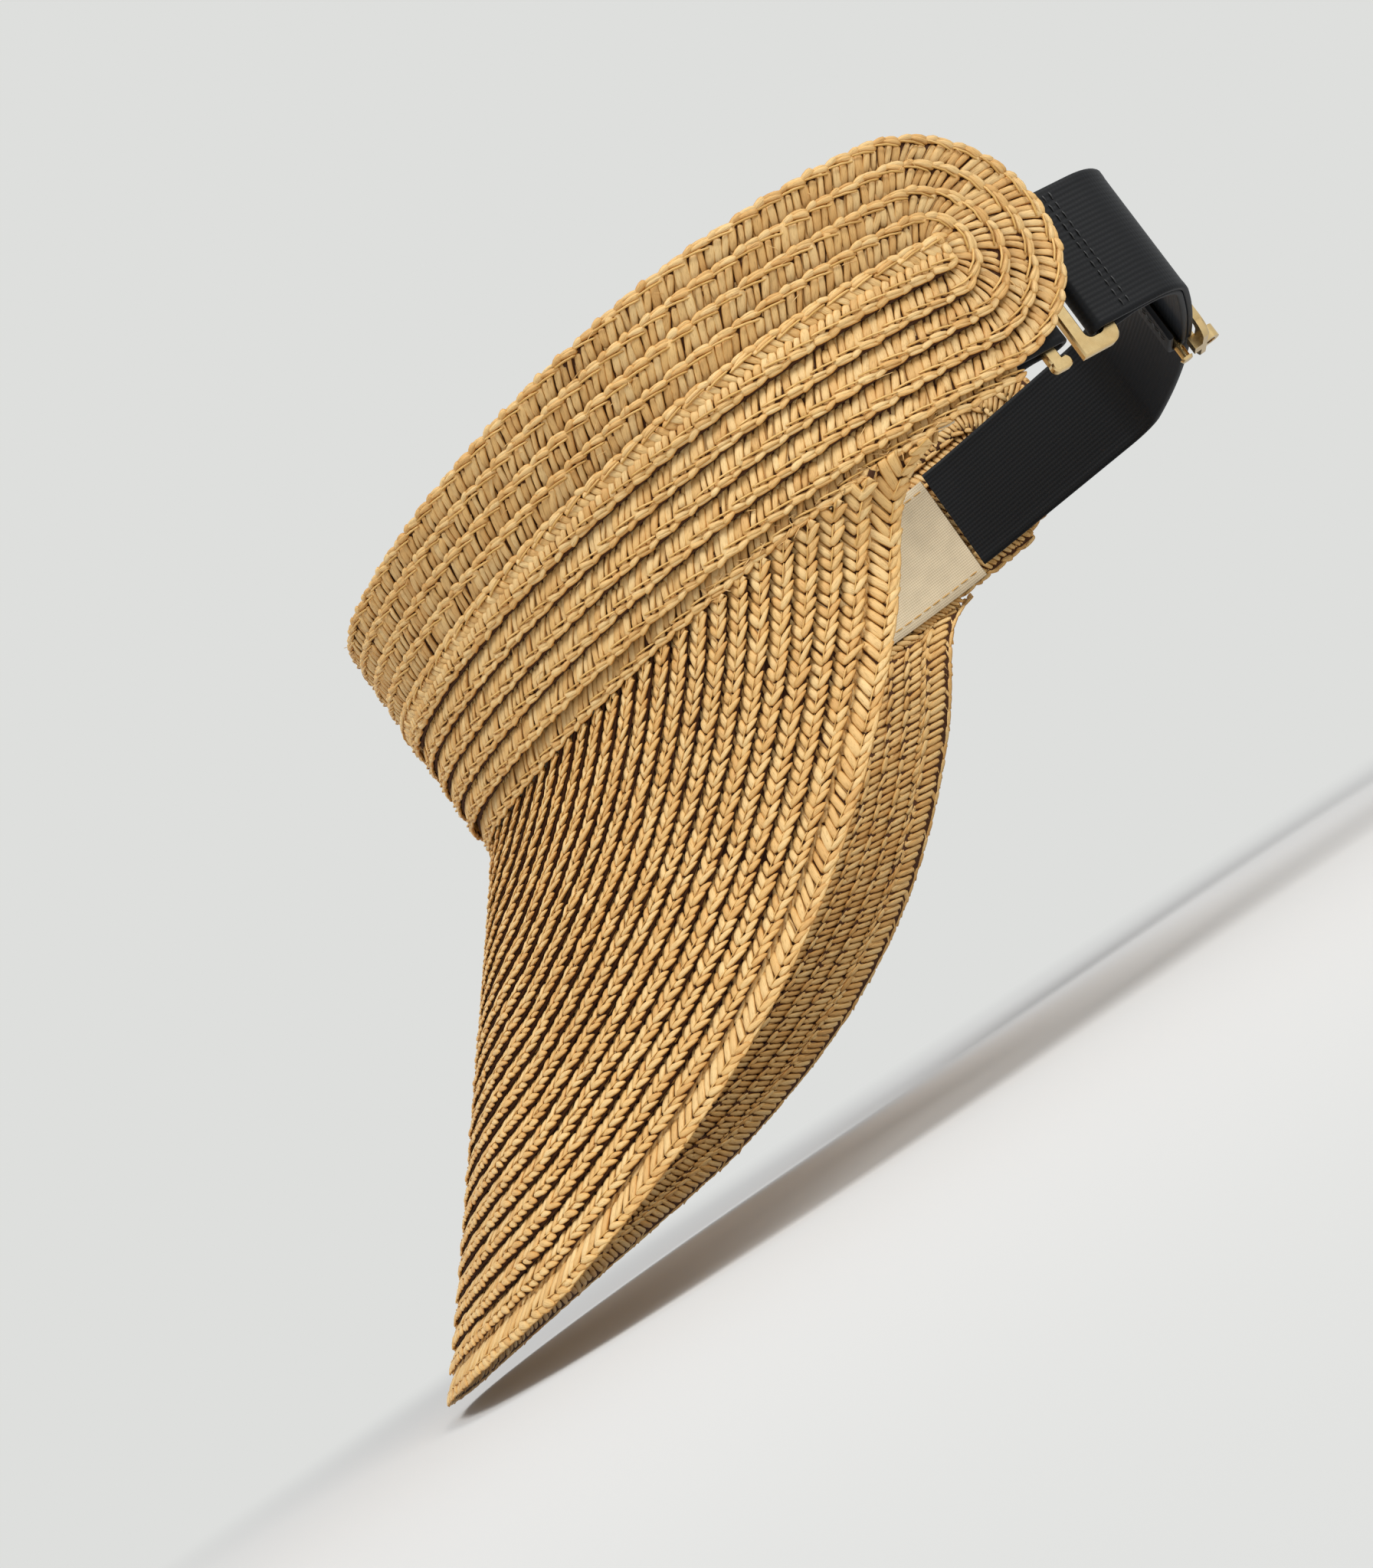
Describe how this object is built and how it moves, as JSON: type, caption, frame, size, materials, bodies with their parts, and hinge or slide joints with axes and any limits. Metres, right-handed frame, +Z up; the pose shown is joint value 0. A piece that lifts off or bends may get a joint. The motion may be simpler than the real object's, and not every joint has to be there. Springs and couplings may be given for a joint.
{
  "type": "straw sun visor",
  "caption": "Straw sun visor of lapped, hand-sewn braid with a wide drooping brim, a cloth sweatband and an adjustable elastic back strap with a metal hook.",
  "frame": {"origin": "on the head's axis, level with the lowest point of the band's edge at the front", "axes": "+Z up as worn, -Y towards the front of the brim, +X towards the wearer's left"},
  "size_m": [0.1948, 0.2708, 0.1562],
  "materials": {
    "straw": "natural straw braid, satin",
    "sweatband_cloth": "woven cotton tape, matte",
    "elastic": "ribbed elastic webbing, matte",
    "clasp_metal": "polished",
    "slider_metal": "polished"
  },
  "bodies": {
    "visor": {"band_centre_braid": "straw", "band_turn_1": "straw", "band_turn_2": "straw", "band_turn_3": "straw", "band_turn_4": "straw", "band_lower_row": "straw", "brim_row_01": "straw", "brim_row_02": "straw", "brim_row_03": "straw", "brim_row_04": "straw", "brim_row_05": "straw", "brim_row_06": "straw", "brim_row_07": "straw", "brim_row_08": "straw", "brim_row_09": "straw", "brim_row_10": "straw", "brim_row_11": "straw", "brim_row_12": "straw", "brim_row_13": "straw", "brim_row_14": "straw", "brim_row_15": "straw", "brim_row_16": "straw", "brim_row_17": "straw", "brim_row_18": "straw", "brim_row_19": "straw", "brim_row_20": "straw", "brim_row_21": "straw", "brim_row_22": "straw", "brim_row_23": "straw", "brim_row_24": "straw", "sweatband": "sweatband_cloth", "end_tab": "elastic", "strap": "elastic"},
    "hook": {"g_hook": "clasp_metal"},
    "slider": {"slider_frame": "slider_metal", "slider_bar": "slider_metal"}
  },
  "joints": [
    {"name": "clasp_release", "type": "slide", "parent": "visor", "child": "hook", "axis": [0, 0, 1], "range_m": [0, 0.033], "deforming": ["strap"]},
    {"name": "slider_travel", "type": "hinge", "parent": "visor", "child": "slider", "pos_m": [0, -0.18136, 0], "axis": [0, 0, 1], "range_deg": [-4, 9.5], "deforming": ["strap"]}
  ]
}
